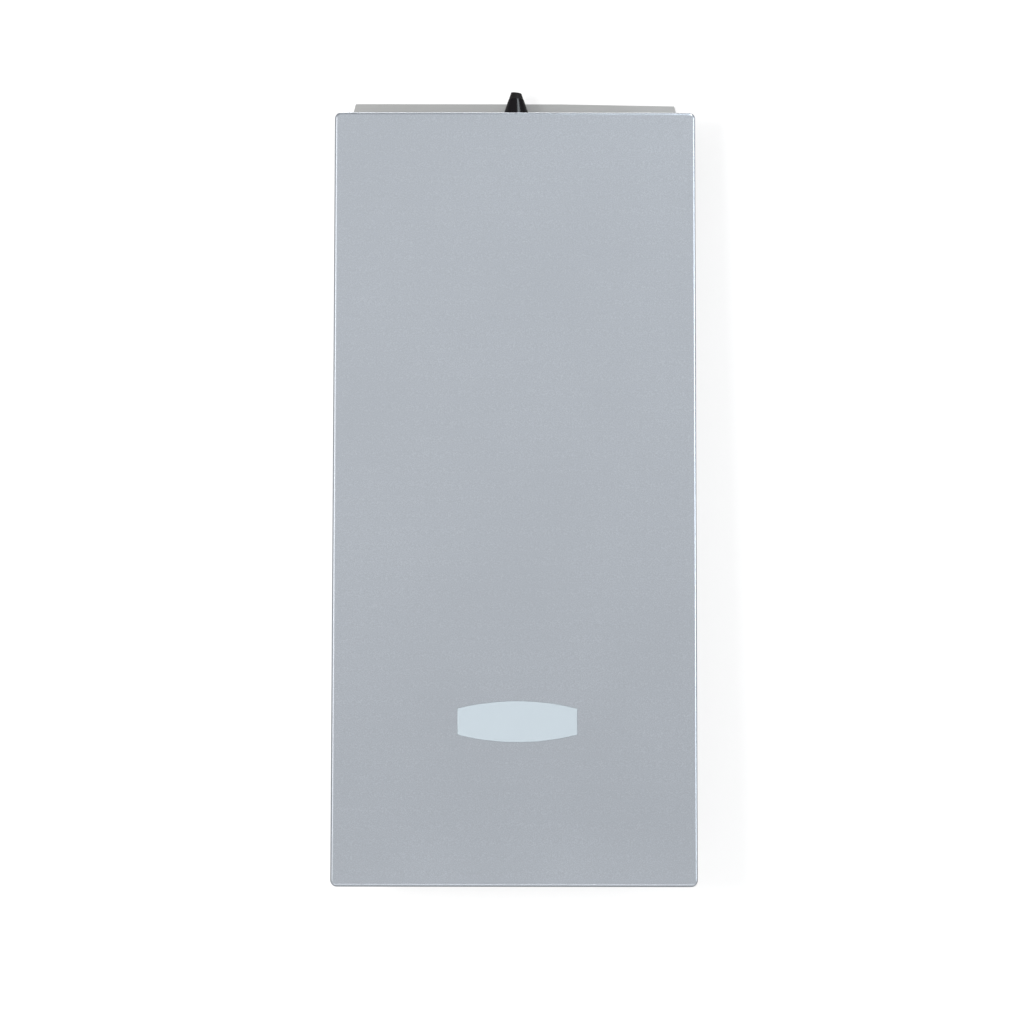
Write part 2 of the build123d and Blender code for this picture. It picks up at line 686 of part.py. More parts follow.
def isolator_body():
    """Rotary switch behind the right side wall."""
    wall = CHASSIS_HALF - CHASSIS_SHEET
    body = span(wall - 46, wall, KNOB_Y - 17, KNOB_Y + 17, KNOB_Z - 24, KNOB_Z + 30)
    body = fillet(body.edges().filter_by(Axis.X), 2)
    for dz in (-14, 2, 18):
        body -= span(wall - 47, wall - 34, KNOB_Y - 18, KNOB_Y - 8, KNOB_Z + dz - 4, KNOB_Z + dz + 4)
    return body - rod(SHAFT_R + 0.05, (wall - 24, KNOB_Y, KNOB_Z), (wall + 1, KNOB_Y, KNOB_Z))


def isolator_shaft():
    wall = CHASSIS_HALF
    return rod(SHAFT_R, (wall - 24, KNOB_Y, KNOB_Z), (wall + 5, KNOB_Y, KNOB_Z))


def isolator_knob():
    """Round knob with a bar grip, turned about X."""
    start = CHASSIS_HALF + 0.4
    disc = rod(KNOB_R, (start, KNOB_Y, KNOB_Z), (start + 4.0, KNOB_Y, KNOB_Z))
    disc = fillet(disc.edges().group_by(Axis.X)[-1], 1.2)
    reach = KNOB_R - 1
    grip = span(start + 3.9, start + KNOB_OUT, KNOB_Y - 4.5, KNOB_Y + 4.5, KNOB_Z - reach, KNOB_Z + reach)
    grip = fillet(grip.edges().filter_by(Axis.X), 3.5)
    grip = fillet(grip.edges().group_by(Axis.X)[-1], 1.5)
    knob = disc + grip
    knob -= rod(SHAFT_R, (start - 1, KNOB_Y, KNOB_Z), (CHASSIS_HALF + 5, KNOB_Y, KNOB_Z))
    tip = start + KNOB_OUT
    pointer = span(tip - 0.6, tip + 1, KNOB_Y - 0.8, KNOB_Y + 0.8, KNOB_Z + 4, KNOB_Z + 15)
    return knob - pointer


def button_housing():
    wall = CHASSIS_HALF
    ring = rod(10.5, (wall, BUTTON_Y, BUTTON_Z), (wall + 1.8, BUTTON_Y, BUTTON_Z))
    ring = fillet(ring.edges().group_by(Axis.X)[-1], 0.8)
    barrel = rod(8.0, (wall - 16, BUTTON_Y, BUTTON_Z), (wall, BUTTON_Y, BUTTON_Z))
    bore = rod(BUTTON_R + 0.06, (wall - 13, BUTTON_Y, BUTTON_Z), (wall + 3, BUTTON_Y, BUTTON_Z))
    return ring + barrel - bore


def wake_button():
    wall = CHASSIS_HALF
    cap = rod(BUTTON_R, (wall - 9, BUTTON_Y, BUTTON_Z), (wall + 1.8 + BUTTON_PROUD, BUTTON_Y, BUTTON_Z))
    return fillet(cap.edges().group_by(Axis.X)[-1], 0.8)


COMM_X0, COMM_X1 = -190.0, -96.0
COMM_Z0, COMM_Z1 = WIRING_FLOOR_Z + 16, WIRING_FLOOR_Z + 106


def comm_board():
    """Data board on the compartment's back wall."""
    back = -CHASSIS_BACK - CHASSIS_SHEET - 5
    board = span(COMM_X0, COMM_X1, back - BOARD_T, back, COMM_Z0, COMM_Z1)
    solids = [fillet(board.edges().filter_by(Axis.Y), 2)]
    for x in (COMM_X0 + 6, COMM_X1 - 6):
        for z in (COMM_Z0 + 6, COMM_Z1 - 6):
            solids.append(rod(2.5, (x, back, z), (x, -CHASSIS_BACK - CHASSIS_SHEET, z)))
    return group(solids)


def data_jacks():
    """Three modular data jacks, open downwards, and a screw terminal strip."""
    front = -CHASSIS_BACK - CHASSIS_SHEET - 5 - BOARD_T
    shapes = []
    for i in range(3):
        x = COMM_X0 + 12 + 24 * i
        jack = span(x, x + 16, front - 13.5, front, COMM_Z0 + 6, COMM_Z0 + 24)
        shapes.append(jack - span(x + 2, x + 14, front - 11.5, front - 3.5, COMM_Z0 + 5, COMM_Z0 + 19))
    strip = span(COMM_X0 + 14, COMM_X0 + 70, front - 9, front, COMM_Z1 - 26, COMM_Z1 - 14)
    for i in range(8):
        x = COMM_X0 + 17.5 + 7 * i
        strip -= rod(2.0, (x, front - 10, COMM_Z1 - 20), (x, front - 7, COMM_Z1 - 20))
    shapes.append(strip)
    return group(shapes)


def ground_stud():
    back = -CHASSIS_BACK - CHASSIS_SHEET
    x, z = -50.0, WIRING_FLOOR_Z + 34
    stud = rod(3.0, (x, back, z), (x, back - 18, z))
    nut = extrude(Plane(origin=(x, back - 1.5, z), z_dir=(0, -1, 0)) * RegularPolygon(5.8, 6), amount=5)
    washer = rod(7.5, (x, back, z), (x, back - 1.5, z))
    return stud + nut + washer


# Cable entry -----------------------------------------------------------------------------------


def cable_boot():
    """Tapered cable boot with a slanting cut at its tip, bored for one cable."""
    profile = Polygon(
        (0, BOOT_BOTTOM),
        (BOOT_NECK_R, BOOT_BOTTOM),
        (BOOT_NECK_R, CHASSIS_TOP),
        (BOOT_COLLAR_R, CHASSIS_TOP),
        (BOOT_COLLAR_R, BOOT_COLLAR_TOP),
        (BOOT_SHOULDER_R, BOOT_SHOULDER_TOP),
        (BOOT_TIP_R, BOOT_TIP_TOP),
        (0, BOOT_TIP_TOP),
        align=None,
    )
    boot = revolve(Plane.XZ * profile, Axis.Z)
    cut = Box(60, 60, 20, align=(Align.CENTER, Align.CENTER, Align.MIN))
    boot -= Pos(-BOOT_TIP_R, 0, BOOT_TIP_TOP) * Rot(Y=BOOT_CUT_DEG) * cut
    boot -= rod(BOOT_BORE_R, (0, 0, BOOT_BOTTOM - 1), (0, 0, BOOT_TIP_TOP + 1))
    return Pos(BOOT_X, BOOT_Y, 0) * boot


def boot_lock_nut():
    top = CHASSIS_TOP - CHASSIS_SHEET
    nut = extrude(Plane.XY.offset(top - 6) * RegularPolygon(14.5, 6), amount=6)
    return Pos(BOOT_X, BOOT_Y, 0) * (nut - Pos(0, 0, top) * Cylinder(BOOT_NECK_R, 30))


def data_plugs():
    """Blind plugs in the two spare data entries."""
    return group(entry_plug(x, 5.0) for x in PLUG_XS[:2])


def vent_plug():
    """Pressure-equalising vent with a castellated cap."""
    x = PLUG_XS[2]
    cap = entry_plug(x, 6.0)
    for i in range(4):
        cap -= Pos(x, PLUG_Y, CHASSIS_BOTTOM - 6) * Rot(Z=45 * i) * Box(40, 3, 3)
    return cap


def entry_plug(x, head):
    plug = rod(10.5, (x, PLUG_Y, CHASSIS_BOTTOM), (x, PLUG_Y, CHASSIS_BOTTOM - head))
    plug = fillet(plug.edges().group_by(Axis.Z)[0], 1.2)
    return plug + rod(PLUG_NECK_R, (x, PLUG_Y, CHASSIS_BOTTOM), (x, PLUG_Y, CHASSIS_BOTTOM + 3.5))


# Front cover -----------------------------------------------------------------------------------


def window_outline(grow=0.0):
    """Straight upright ends joined by two long bowed edges."""
    half_w, side, rise = WINDOW_W / 2 + grow, WINDOW_SIDE_H / 2 + grow, WINDOW_H / 2 + grow
    return Wire(
        [
            Line((-half_w, -side), (-half_w, side)),
            ThreePointArc((-half_w, side), (0, rise), (half_w, side)),
            Line((half_w, side), (half_w, -side)),
            ThreePointArc((half_w, -side), (0, -rise), (-half_w, -side)),
        ]
    )


def window_slab(grow, depth0, depth1):
    """The window's outline as a slab between two depths on the leaning face."""
    slab = extrude(Plane.XZ * make_face(window_outline(grow)), amount=-(depth1 - depth0))
    return Pos(WINDOW_X, depth0, WINDOW_Z) * slab


def front_cover():
    sheet = COVER_SHEET
    outer = span(-COVER_W / 2, COVER_W / 2, 0, COVER_SKIRT, -FACE_LENGTH / 2, FACE_LENGTH / 2)
    outer = fillet(outer.edges().filter_by(Axis.Y), COVER_CORNER)
    outer = fillet(outer.edges().group_by(Axis.Y)[0], COVER_EDGE)
    inner = span(
        -COVER_W / 2 + sheet,
        COVER_W / 2 - sheet,
        sheet,
        COVER_SKIRT + 5,
        -FACE_LENGTH / 2 + sheet,
        FACE_LENGTH / 2 - sheet,
    )
    inner = fillet(inner.edges().filter_by(Axis.Y), COVER_CORNER - sheet)
    inner = fillet(inner.edges().group_by(Axis.Y)[0], COVER_EDGE - sheet)
    return FACE * (outer - inner - window_slab(0.0, -1, sheet + 1))


def status_window():
    """Diffusing lens: fills the cover's cut-out and has a wider flange behind the sheet."""
    lens = window_slab(0.0, -WINDOW_PROUD, COVER_SHEET)
    return FACE * (lens + window_slab(3.0, COVER_SHEET, COVER_SHEET + 1.2))


def window_frame():
    """Retaining frame behind the lens's flange."""
    ring = window_slab(7.0, COVER_SHEET, COVER_SHEET + 2.2)
    ring -= window_slab(3.0, COVER_SHEET - 1, COVER_SHEET + 1.2)
    ring -= window_slab(-3.0, COVER_SHEET + 1, COVER_SHEET + 3)
    return FACE * ring


def cover_studs():
    """Ball studs welded inside the cover."""
    shapes = []
    ball_depth = RIM_DEPTH + 0.4
    for x, z in stud_points():
        foot = rod(7.0, (x, COVER_SHEET, z), (x, COVER_SHEET + 1.5, z))
        stem = rod(2.4, (x, COVER_SHEET, z), (x, ball_depth, z))
        shapes.append(foot + stem + Pos(x, ball_depth, z) * Sphere(BALL_R))
    return FACE * group(shapes)


def cover_bumpers():
    """Felt pads inside the cover that stop it drumming against the pack cover."""
    low, high = pack_span()
    depth1 = RIM_DEPTH - GASKET_T - INNER_COVER_T - 0.2
    shapes = []
    for x in (-100.0, 100.0):
        for z in (low + 90, high - 110):
            shapes.append(span(x - 15, x + 15, COVER_SHEET, depth1, z - 15, z + 15))
    return FACE * group(shapes)


# Write one STEP file per node --------------------------------------------------------------------

NODES = {
    "wall_bracket": wall_bracket,
    "hook_liners": hook_liners,
    "rear_chassis": rear_chassis,
    "bulkhead": bulkhead,
    "hanger_rail": hanger_rail,
    "wall_bumpers": wall_bumpers,
    "rear_heat_sink": rear_heat_sink,
    "back_liner": back_liner,
    "busbars": busbars,
    "cell_spacers": cell_spacers,
    "clamp_rails": clamp_rails,
    "electronics_tray": electronics_tray,
    "bms_board": bms_board,
    "bms_heat_sink": bms_heat_sink,
    "bms_components": bms_components,
    "contactor": contactor,
    "fuse_holder": fuse_holder,
    "main_fuse": main_fuse,
    "positive_riser": lambda: riser_bar(1),
    "negative_riser": lambda: riser_bar(-1),
    "led_board": led_board,
    "pack_gasket": pack_gasket,
    "pack_cover": pack_cover,
    "cover_screws": cover_screws,
    "cover_sockets": cover_sockets,
    "terminal_shield": terminal_shield,
    "terminal_block": terminal_block,
    "power_terminals": power_terminals,
    "isolator_body": isolator_body,
    "isolator_shaft": isolator_shaft,
    "isolator_knob": isolator_knob,
    "button_housing": button_housing,
    "wake_button": wake_button,
    "comm_board": comm_board,
    "data_jacks": data_jacks,
    "ground_stud": ground_stud,
    "cable_boot": cable_boot,
    "boot_lock_nut": boot_lock_nut,
    "data_plugs": data_plugs,
    "vent_plug": vent_plug,
    "front_cover": front_cover,
    "status_window": status_window,
    "window_frame": window_frame,
    "cover_studs": cover_studs,
    "cover_bumpers": cover_bumpers,
}

os.makedirs("parts", exist_ok=True)
for name, make in NODES.items():
    export_step(make(), f"parts/{name}.step")
for column in range(CELL_COLUMNS):
    for row in range(CELL_ROWS):
        export_step(cell(column, row), f"parts/cell_{column + 1}{row + 1}.step")
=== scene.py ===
"""Wall battery unit: finishes, finer front pieces, stage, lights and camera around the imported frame.

Metres, in the frame's own axes: X to the viewer's right, Y into the wall, Z up.
"""

import json
import math

import bmesh
import bpy
from mathutils import Matrix, Vector


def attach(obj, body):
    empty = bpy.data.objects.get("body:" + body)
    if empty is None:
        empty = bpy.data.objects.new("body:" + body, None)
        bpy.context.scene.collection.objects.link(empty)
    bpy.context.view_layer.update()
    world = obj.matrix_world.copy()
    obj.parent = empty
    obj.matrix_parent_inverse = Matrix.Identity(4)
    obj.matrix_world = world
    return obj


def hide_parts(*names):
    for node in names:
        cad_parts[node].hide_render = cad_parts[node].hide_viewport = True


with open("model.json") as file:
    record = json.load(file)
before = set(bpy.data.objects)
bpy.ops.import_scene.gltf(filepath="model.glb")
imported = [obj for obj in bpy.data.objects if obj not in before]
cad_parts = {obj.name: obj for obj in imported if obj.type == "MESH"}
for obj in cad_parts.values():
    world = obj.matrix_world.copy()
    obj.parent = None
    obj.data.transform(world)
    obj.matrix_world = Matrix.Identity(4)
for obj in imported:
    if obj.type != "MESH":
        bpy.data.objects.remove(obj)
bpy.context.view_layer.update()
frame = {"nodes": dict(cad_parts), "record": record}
MM = 0.001
NEAR = 1e-6

# The leaning front cover -----------------------------------------------------------------------

COVER_W = 450 * MM
COVER_H = 958 * MM
COVER_TOP = 80 * MM
TOP_OUT = 70 * MM
BOTTOM_OUT = 126 * MM
SKIRT = 20 * MM
SHEET = 2 * MM
CORNER_R = 8 * MM
EDGE_R = 4 * MM
LEAN = math.atan((BOTTOM_OUT - TOP_OUT) / COVER_H)
FACE_LENGTH = COVER_H / math.cos(LEAN)
FACE_MID = Vector((0, -(TOP_OUT + BOTTOM_OUT) / 2, COVER_TOP - COVER_H / 2))
FACE = Matrix.Translation(FACE_MID) @ Matrix.Rotation(-LEAN, 4, "X")

WINDOW_W = 147.4 * MM
WINDOW_SIDE_H = 32 * MM
WINDOW_H = 50.4 * MM
WINDOW_AT = Vector((3.8 * MM, 0, FACE_LENGTH / 2 - 758 * MM))
WINDOW_PROUD = 0.5 * MM
WINDOW_ARC_STEPS = 900
WINDOW_GAP = 0.15 * MM
WINDOW_RIM_R = 0.45 * MM
FLANGE_GROW = 3 * MM
FLANGE_THICK = 1.2 * MM
CUTTER_REACH = 5 * MM

# The cable boot --------------------------------------------------------------------------------

BOOT_AT = Vector((1.4 * MM, -31 * MM, 0))
BOOT_FOOT = 60.0
BOOT_TOP = 113.0
BOOT_BORE = 4.8
BOOT_PROFILE = (  # radius and height in millimetres, up the outside and down the bore
    (10.0, BOOT_FOOT),
    (10.0, 73.9),
    (17.0, 74.0),
    (17.0, 81.5),
    (16.7, 82.0),
    (15.2, 86.6),
    (13.3, 92.0),
    (11.45, 97.4),
    (9.75, 102.2),
    (9.2, 102.8),
    (7.7, 107.3),
    (6.3, 111.6),
    (6.3, BOOT_TOP),
    (BOOT_BORE, BOOT_TOP),
    (BOOT_BORE, BOOT_FOOT),
)
BOOT_CUT = math.radians(7)
BOOT_CUT_AT = Vector((-6.3 * MM, 0, 111.55 * MM))
BOOT_RIM_R = 0.35 * MM
BOOT_RIM_ANGLE = 0.8
BOOT_STEPS = 96
BOOT_POLISHED_TO = 100 * MM
BOOT_FADE = 10 * MM


# Shader maths ----------------------------------------------------------------------------------


class Value:
    """A socket of a material. Arithmetic on it adds Math nodes."""

    def __init__(self, finish, socket):
        self.finish = finish
        self.socket = socket

    def _math(self, operation, a, b):
        return self.finish.node("ShaderNodeMath", {"operation": operation}, {0: a, 1: b})

    def __add__(self, other):
        return self._math("ADD", self, other)

    def __radd__(self, other):
        return self._math("ADD", other, self)

    def __sub__(self, other):
        return self._math("SUBTRACT", self, other)

    def __rsub__(self, other):
        return self._math("SUBTRACT", other, self)

    def __mul__(self, other):
        return self._math("MULTIPLY", self, other)

    def __rmul__(self, other):
        return self._math("MULTIPLY", other, self)

    def __truediv__(self, other):
        return self._math("DIVIDE", self, other)


class Nodes:
    """A node tree, with short ways to add nodes, ramps and links to it."""

    def __init__(self, tree):
        self.tree = tree

    def node(self, kind, settings, inputs, output=0):
        """Adds a node. Settings, such as a ramp's stops, come first, then its sockets."""
        node = self.tree.nodes.new(kind)
        for name, value in settings.items():
            if name == "stops":
                self._stops(node.color_ramp, value)
            else:
                setattr(node, name, value)
        for name, value in inputs.items():
            if isinstance(value, Value):
                self.tree.links.new(value.socket, node.inputs[name])
            else:
                node.inputs[name].default_value = value
        return Value(self, node.outputs[output])

    def _stops(self, ramp, stops):
        while len(ramp.elements) < len(stops):
            ramp.elements.new(1.0)
        for element, (position, colour) in zip(ramp.elements, stops):
            element.position = position
            element.color = colour if isinstance(colour, tuple) else (colour, colour, colour, 1)

    def ramp(self, value, *stops):
        """Each stop is a position with a grey level or a colour."""
        return self.node("ShaderNodeValToRGB", {"stops": stops}, {"Fac": value})

    def link(self, value, socket):
        self.tree.links.new(value.socket, socket)


class Finish(Nodes):
    """A procedural material: a Principled shader and the nodes that feed it."""

    def __init__(self, name, **fixed):
        self.material = bpy.data.materials.new(name)
        self.material.use_nodes = True
        super().__init__(self.material.node_tree)
        self.shader = self.tree.nodes["Principled BSDF"]
        for socket, value in fixed.items():
            self.shader.inputs[socket.replace("_", " ")].default_value = value
        self.place = self.node("ShaderNodeTexCoord", {}, {}, "Object")

    def feed(self, **inputs):
        """Links values to the shader's sockets, which are named with underscores for spaces."""
        for socket, value in inputs.items():
            self.link(value, self.shader.inputs[socket.replace("_", " ")])
        return self

    def noise(self, scale, detail, roughness=0.5, vector=None):
        """Noise by its scale, the number of its finer layers and how strong those are."""
        inputs = {"Vector": vector or self.place, "Scale": scale, "Detail": detail, "Roughness": roughness}
        return self.node("ShaderNodeTexNoise", {}, inputs)

    def stretched(self, x, y, z):
        """The object's coordinates scaled along each axis, for grain that runs one way."""
        return self.node("ShaderNodeMapping", {}, {"Vector": self.place, "Scale": (x, y, z)})

    def mix(self, factor, a, b):
        """Colour a where the factor is 0, colour b where it is 1."""
        return self.node("ShaderNodeMix", {"data_type": "RGBA"}, {0: factor, 6: a, 7: b}, 2)

    def bump(self, height, strength, distance, normal=None):
        """A relief of that strength and depth in metres, laid over another one if it is given."""
        inputs = {"Height": height, "Strength": strength, "Distance": distance}
        if normal:
            inputs["Normal"] = normal
        return self.node("ShaderNodeBump", {}, inputs)


def rgb(red, green, blue):
    return (red, green, blue, 1.0)


def shade(colour, factor):
    """The colour made darker or lighter."""
    return tuple(min(1.0, channel * factor) for channel in colour[:3]) + (1.0,)


# Finishes --------------------------------------------------------------------------------------


def silver_paint():
    """Satin metallic paint: fine flake, soft cloudiness and a little orange peel."""
    paint = Finish("silver_paint", Coat_Roughness=0.25, IOR=1.5)
    base = rgb(0.600, 0.645, 0.705)
    cloud = paint.noise(7.0, 3.0)
    flake = paint.noise(900.0, 1.0, 0.7)
    colour = paint.mix(cloud, shade(base, 0.93), shade(base, 1.065))
    colour = paint.mix(paint.ramp(flake, (0.40, 0.0), (0.62, 1.0)), shade(base, 0.88), colour)
    sparkle = paint.ramp(flake, (0.60, 0.0), (0.72, 1.0))
    colour = paint.mix(sparkle * 0.35, colour, rgb(0.80, 0.84, 0.88))
    peel = paint.bump(paint.noise(160.0, 2.0), 0.05, 0.0004)
    normal = paint.bump(flake, 0.06, 0.0002, peel)
    return paint.feed(
        Base_Color=colour,
        Metallic=paint.ramp(flake, (0.3, 0.78), (0.7, 0.95)),
        Roughness=0.285 + 0.05 * cloud,
        Coat_Weight=0.15 + 0.10 * cloud,
        Normal=normal,
    )


def window_diffuser():
    """Pale blue satin lens with a faint cloudiness and a fine moulded grain."""
    lens = Finish("window_diffuser", IOR=1.5)
    soft = lens.noise(24.0, 2.0)
    colour = lens.mix(soft, rgb(0.500, 0.572, 0.622), rgb(0.520, 0.590, 0.638))
    return lens.feed(
        Base_Color=colour,
        Roughness=0.30 + 0.10 * soft,
        Normal=lens.bump(lens.noise(700.0, 2.0), 0.05, 0.0002),
    )


def boot_rubber():
    """Black rubber: polished on the flare, dull on the tip that hands have rubbed."""
    rubber = Finish("boot_rubber", IOR=1.52, Specular_IOR_Level=0.25)
    height = rubber.node("ShaderNodeSeparateXYZ", {}, {"Vector": rubber.place}, "Z")
    tip = rubber.ramp((height - BOOT_POLISHED_TO) / BOOT_FADE, (0.22, 0.0), (0.36, 1.0))
    dust = rubber.noise(420.0, 3.0)
    colour = rubber.mix(tip, rgb(0.004, 0.003, 0.005), rgb(0.008, 0.007, 0.007))
    colour = rubber.mix(dust * 0.2, colour, rgb(0.014, 0.013, 0.014))
    return rubber.feed(
        Base_Color=colour,
        Roughness=0.17 + 0.40 * tip + 0.05 * dust,
        Normal=rubber.bump(dust, 0.05, 0.0002),
    )


def plated(name, colour, roughness, grain=(30, 30, 600)):
    """Zinc-plated or bare metal with a fine grain and a few duller patches."""
    metal = Finish(name, IOR=1.5)
    lines = metal.noise(1.0, 3.0, 0.6, metal.stretched(*grain))
    patch = metal.noise(18.0, 3.0)
    tone = metal.mix(patch, shade(colour, 0.94), shade(colour, 1.05))
    tone = metal.mix(metal.ramp(lines, (0.35, 0.0), (0.65, 1.0)) * 0.35, tone, shade(colour, 0.88))
    return metal.feed(
        Base_Color=tone,
        Metallic=0.80 - 0.20 * patch,
        Roughness=roughness + 0.12 * patch,
        Normal=metal.bump(lines, 0.08, 0.0002),
    )


def powder_coat(name, colour, roughness=0.55):
    """Fine-textured powder coat, slightly worn where it is rough."""
    coat = Finish(name, IOR=1.5)
    grain = coat.noise(950.0, 2.0, 0.6)
    patch = coat.noise(9.0, 3.0)
    tone = coat.mix(patch, shade(colour, 0.95), shade(colour, 1.05))
    tone = coat.mix(coat.ramp(grain, (0.35, 0.0), (0.65, 1.0)), shade(colour, 0.90), tone)
    return coat.feed(
        Base_Color=tone,
        Roughness=roughness + 0.10 * grain,
        Normal=coat.bump(grain, 0.25, 0.0003, coat.bump(patch, 0.05, 0.001)),
    )


def moulded(name, colour, roughness, grain=500.0, depth=0.15):
    """Moulded plastic with a fine spark-eroded texture."""
    plastic = Finish(name, IOR=1.48)
    texture = plastic.noise(grain, 2.0, 0.6)
    flow = plastic.noise(22.0, 2.0)
    return plastic.feed(
        Base_Color=plastic.mix(flow, shade(colour, 0.90), shade(colour, 1.10)),
        Roughness=roughness + 0.08 * texture,
        Normal=plastic.bump(texture, depth, 0.0002),
    )


def cell_sleeve():
    """Blue shrink sleeve over an aluminium can, with faint creases."""
    sleeve = Finish("cell_sleeve", Coat_Weight=0.4, Coat_Roughness=0.15)
    crease = sleeve.noise(1.0, 3.0, 0.6, sleeve.stretched(12, 60, 60))
    return sleeve.feed(
        Base_Color=sleeve.mix(crease, rgb(0.020, 0.085, 0.210), rgb(0.030, 0.110, 0.260)),
        Roughness=0.28 + 0.14 * crease,
        Normal=sleeve.bump(crease, 0.20, 0.0005),
    )


def circuit_board(name, mask):
    """Solder mask over copper tracks and tinned pads."""
    board = Finish(name, Coat_Weight=0.3, Coat_Roughness=0.12)
    upright = board.node("ShaderNodeMapping", {}, {"Vector": board.place, "Rotation": (math.pi / 2, 0, 0)})
    tracks = board.node(
        "ShaderNodeTexBrick",
        {"offset": 0.5, "squash": 1.0},
        {
            "Vector": upright,
            "Color1": rgb(0, 0, 0),
            "Color2": rgb(0.3, 0.3, 0.3),
            "Mortar": rgb(1, 1, 1),
            "Scale": 90.0,
            "Mortar Size": 0.03,
        },
    )
    dots = board.node("ShaderNodeTexVoronoi", {}, {"Vector": board.place, "Scale": 260.0})
    pads = board.ramp(dots, (0.16, 1.0), (0.20, 0.0))
    colour = board.mix(tracks, mask, shade(mask, 1.6))
    return board.feed(
        Base_Color=board.mix(pads * 0.5, colour, rgb(0.60, 0.60, 0.58)),
        Metallic=pads * 0.4,
        Roughness=0.35 - 0.10 * pads,
        Normal=board.bump(tracks, 0.10, 0.0002),
    )


def foam(name, colour):
    """Closed-cell foam or felt: open surface, no gloss."""
    pad = Finish(name, Sheen_Weight=0.3, Specular_IOR_Level=0.2)
    cells = pad.node("ShaderNodeTexVoronoi", {}, {"Vector": pad.place, "Scale": 900.0})
    return pad.feed(
        Base_Color=pad.mix(cells, shade(colour, 0.75), shade(colour, 1.2)),
        Roughness=0.88 + 0.08 * cells,
        Normal=pad.bump(cells, 0.4, 0.0004),
    )


def clear_guard():
    """Clear polycarbonate with a very light haze."""
    guard = Finish("clear_guard", IOR=1.55, Transmission_Weight=0.92)
    haze = guard.noise(30.0, 3.0)
    return guard.feed(
        Base_Color=guard.mix(haze, rgb(0.86, 0.92, 0.94), rgb(0.92, 0.96, 0.97)),
        Roughness=0.05 + 0.10 * haze,
        Normal=guard.bump(haze, 0.03, 0.0005),
    )


SLOT_FINISHES = {
    "zinc": plated("zinc_plate", rgb(0.575, 0.575, 0.567), 0.46),
    "sink_alu": plated("anodised_aluminium", rgb(0.62, 0.63, 0.64), 0.34, (30, 30, 200)),
    "busbar_copper": plated("tinned_copper", rgb(0.66, 0.34, 0.20), 0.28, (400, 40, 40)),
    "screw_steel": plated("bright_steel", rgb(0.60, 0.60, 0.61), 0.29, (300, 300, 300)),
    "chassis_paint": powder_coat("chassis_powder_coat", rgb(0.335, 0.350, 0.370)),
    "inner_cover": powder_coat("inner_cover_coat", rgb(0.50, 0.51, 0.52), 0.48),
    "nylon_white": moulded("white_nylon", rgb(0.78, 0.78, 0.75), 0.42),
    "nylon_black": moulded("black_nylon", rgb(0.018, 0.018, 0.020), 0.42),
    "rubber_black": moulded("black_rubber", rgb(0.020, 0.020, 0.020), 0.70, 300.0, 0.3),
    "liner_fibre": moulded("liner_fibre", rgb(0.62, 0.57, 0.44), 0.75, 250.0, 0.4),
    "rail_plastic": moulded("clamp_rail_plastic", rgb(0.045, 0.046, 0.050), 0.45),
    "tray_plastic": moulded("tray_plastic", rgb(0.060, 0.064, 0.070), 0.50),
    "component_black": moulded("component_plastic", rgb(0.014, 0.014, 0.016), 0.38),
    "contactor_case": moulded("contactor_case", rgb(0.030, 0.031, 0.036), 0.30),
    "fuse_ceramic": moulded("fuse_ceramic", rgb(0.74, 0.72, 0.66), 0.18, 120.0, 0.05),
    "riser_red": moulded("riser_sleeve_red", rgb(0.42, 0.020, 0.014), 0.34),
    "riser_black": moulded("riser_sleeve_black", rgb(0.012, 0.012, 0.013), 0.34),
    "terminal_moulding": moulded("terminal_moulding", rgb(0.110, 0.118, 0.110), 0.46),
    "knob_black": moulded("knob_plastic", rgb(0.016, 0.016, 0.018), 0.30, 700.0, 0.08),
    "button_grey": moulded("button_plastic", rgb(0.120, 0.125, 0.130), 0.34, 700.0, 0.10),
    "jack_black": moulded("jack_plastic", rgb(0.014, 0.014, 0.015), 0.36),
    "board_green": circuit_board("board_green_mask", rgb(0.010, 0.110, 0.045)),
    "led_white": circuit_board("board_white_mask", rgb(0.66, 0.67, 0.66)),
    "foam": foam("spacer_foam", rgb(0.050, 0.050, 0.053)),
    "felt": foam("bumper_felt", rgb(0.070, 0.070, 0.074)),
    "cell_can": cell_sleeve(),
    "clear_guard": clear_guard(),
    "boot_rubber": boot_rubber(),
    "cover_paint": silver_paint(),
    "window_diffuser": window_diffuser(),
}

for subpart in frame["record"]["subparts"]:
    mesh = frame["nodes"][subpart["node"]].data
    mesh.materials.clear()
    mesh.materials.append(SLOT_FINISHES[subpart["material_slot"]].material)


# Finer pieces ----------------------------------------------------------------------------------


def mesh_from(name, bm):
    """Ends a bmesh as a mesh."""
    mesh = bpy.data.meshes.new(name)
    bm.to_mesh(mesh)
    bm.free()
    return mesh


def put_in_scene(name, data):
    """Makes an object of a mesh, light or camera and links it to the scene."""
    obj = bpy.data.objects.new(name, data)
    bpy.context.scene.collection.objects.link(obj)
    return obj


def piece(name, bm, slot, node, body, place):
    """Turns a bmesh into a smooth-shaded object that stands for a CAD node."""
    bm.transform(place)
    mesh = mesh_from(name, bm)
    for polygon in mesh.polygons:
        polygon.use_smooth = True
    obj = put_in_scene(name, mesh)
    mesh.materials.append(SLOT_FINISHES[slot].material)
    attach(obj, body)
    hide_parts(node)
    return obj


def apply_modifiers(obj):
    """Bakes the object's modifiers into its mesh."""
    bpy.context.view_layer.update()
    graph = bpy.context.evaluated_depsgraph_get()
    finished = bpy.data.meshes.new_from_object(obj.evaluated_get(graph))
    obj.modifiers.clear()
    obj.data = finished


def weigh_normals(obj):
    """Keeps wide flat faces flat right up to their rounded edges."""
    modifier = obj.modifiers.new("flat_faces", "WEIGHTED_NORMAL")
    modifier.weight = 100
    modifier.keep_sharp = True


def everything(bm):
    """All the geometry of a bmesh, as its operators take it."""
    return list(bm.verts) + list(bm.edges) + list(bm.faces)


